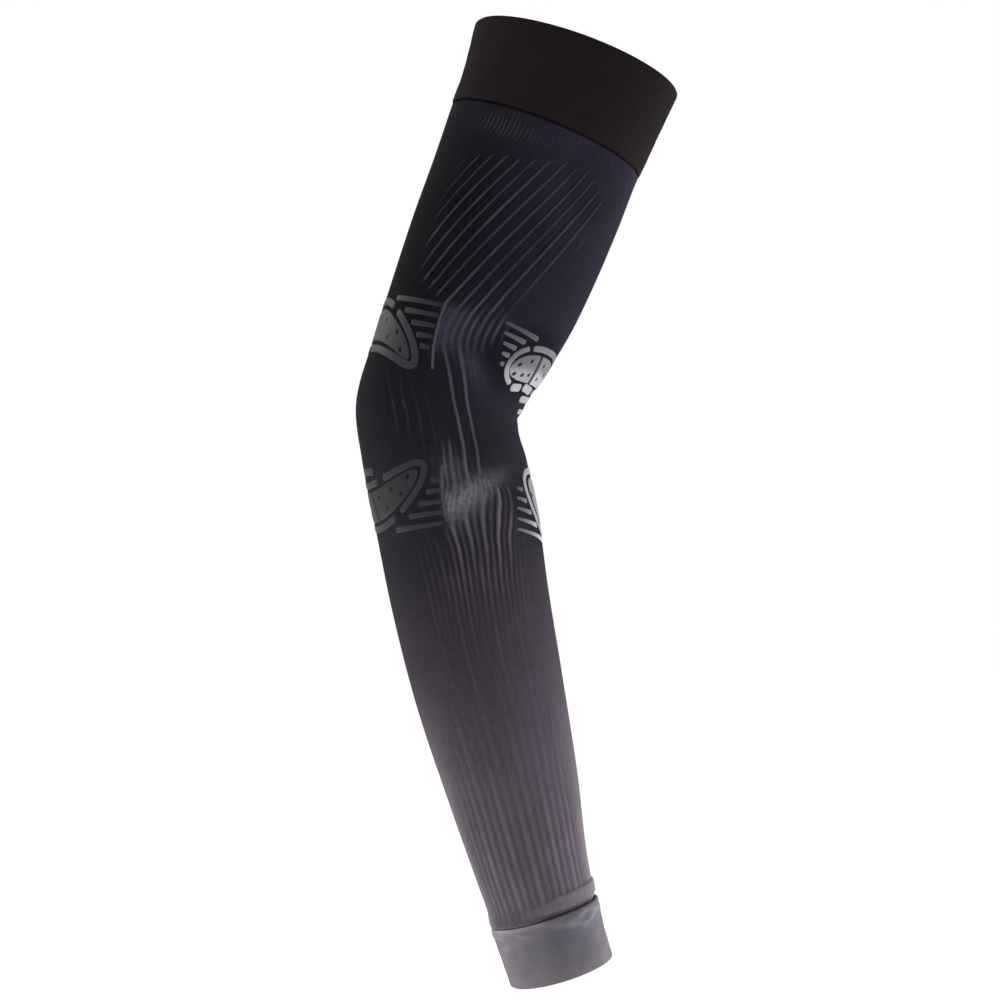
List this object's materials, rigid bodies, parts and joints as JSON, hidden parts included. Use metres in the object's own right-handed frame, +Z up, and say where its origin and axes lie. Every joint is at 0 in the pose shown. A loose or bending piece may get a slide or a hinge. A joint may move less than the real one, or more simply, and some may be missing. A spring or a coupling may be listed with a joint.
{
  "type": "arm sleeve",
  "caption": "Knitted compression sleeve for the whole arm, shaped to a bent elbow, with raised ribs, a plain cuff at each end and thin pads round the elbow.",
  "frame": {"origin": "middle of the upper opening, where the arm goes in", "axes": "+Z up along the arm's length, +X towards the inside of the elbow's bend, +Y across the plane of the bend"},
  "size_m": [0.1485, 0.0968, 0.4419],
  "materials": {
    "upper_cuff_knit": "matt black folded knit",
    "ribbed_knit": "ribbed knit, black at the upper arm fading to grey at the wrist",
    "wrist_cuff_knit": "matt mid grey folded knit",
    "pad_print": "satin silver grey raised print"
  },
  "bodies": {
    "root": {"upper_cuff": "upper_cuff_knit", "sleeve_body": "ribbed_knit", "wrist_cuff": "wrist_cuff_knit", "outer_pad_upper": "pad_print", "outer_pad_lower": "pad_print", "inner_pad_upper": "pad_print", "inner_pad_lower": "pad_print"}
  },
  "joints": []
}
